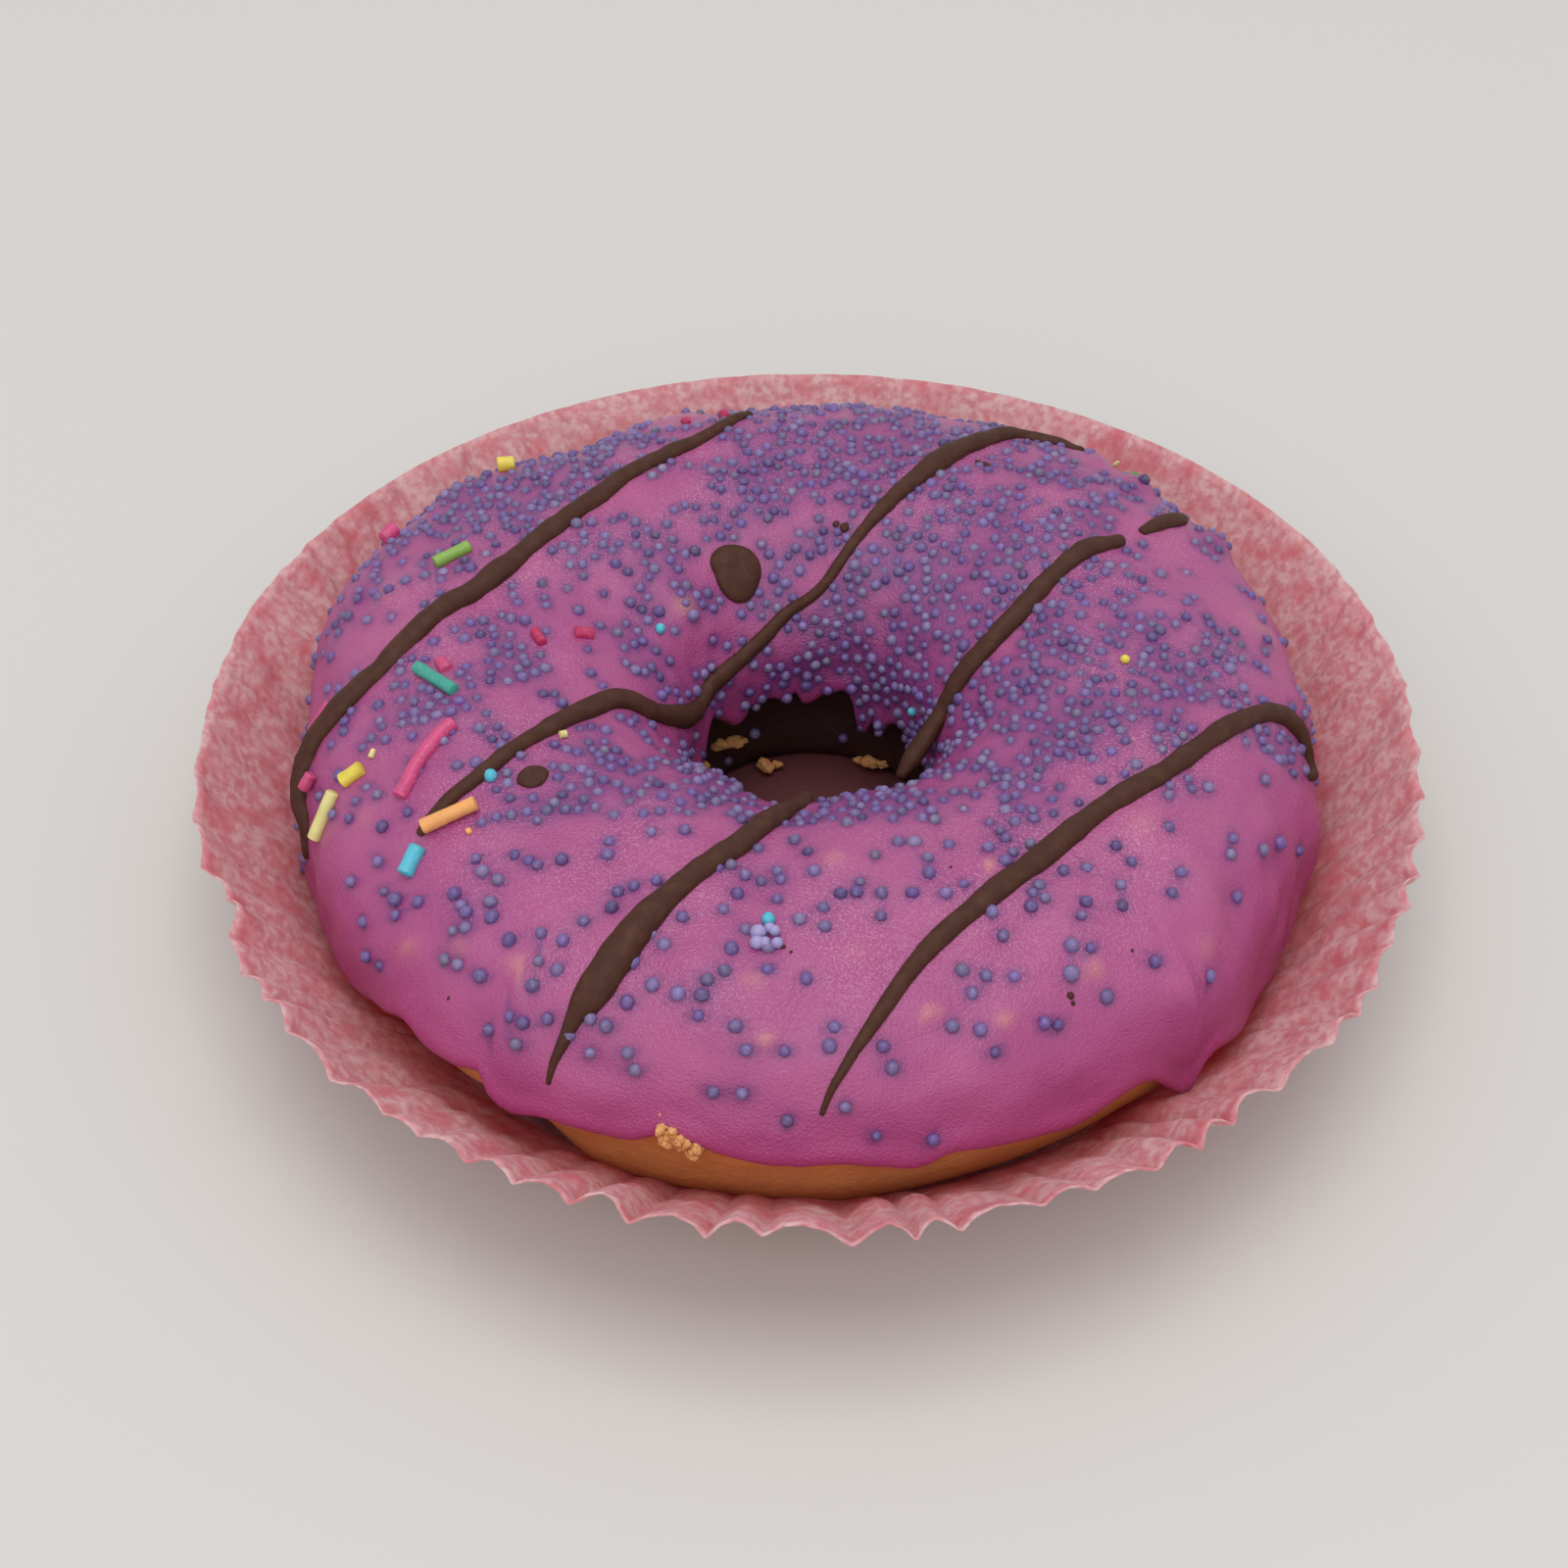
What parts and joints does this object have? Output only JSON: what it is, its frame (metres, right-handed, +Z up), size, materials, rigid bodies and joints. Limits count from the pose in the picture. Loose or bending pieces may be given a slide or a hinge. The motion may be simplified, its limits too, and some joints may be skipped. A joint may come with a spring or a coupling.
{
  "type": "doughnut",
  "caption": "Ring doughnut with pink icing, dark chocolate drizzle and small sugar sprinkles, resting in a flared pleated paper case.",
  "frame": {"origin": "middle of the paper case's flat floor, on its underside", "axes": "+Z up through the hole of the ring, -Y towards the side that the picture shows nearest, +X to its right"},
  "size_m": [0.1105, 0.1141, 0.0254],
  "materials": {
    "case_paper": "thin translucent greaseproof paper, pink with pale fibres, pleated",
    "golden_dough": "fried dough, golden brown and matt; matte_plastic stands in for baked food",
    "pink_icing": "waxy magenta-pink icing with a soft sheen; matte_plastic stands in for icing",
    "dark_chocolate": "dark chocolate drizzle with a dull sheen; matte_plastic stands in for chocolate",
    "sugar_sprinkles": "blue-violet sugar pearls and rod sprinkles in several colours; matte_plastic stands in for sugar"
  },
  "bodies": {
    "root": {"paper_case": "case_paper", "dough": "golden_dough", "icing": "pink_icing"}
  },
  "joints": []
}
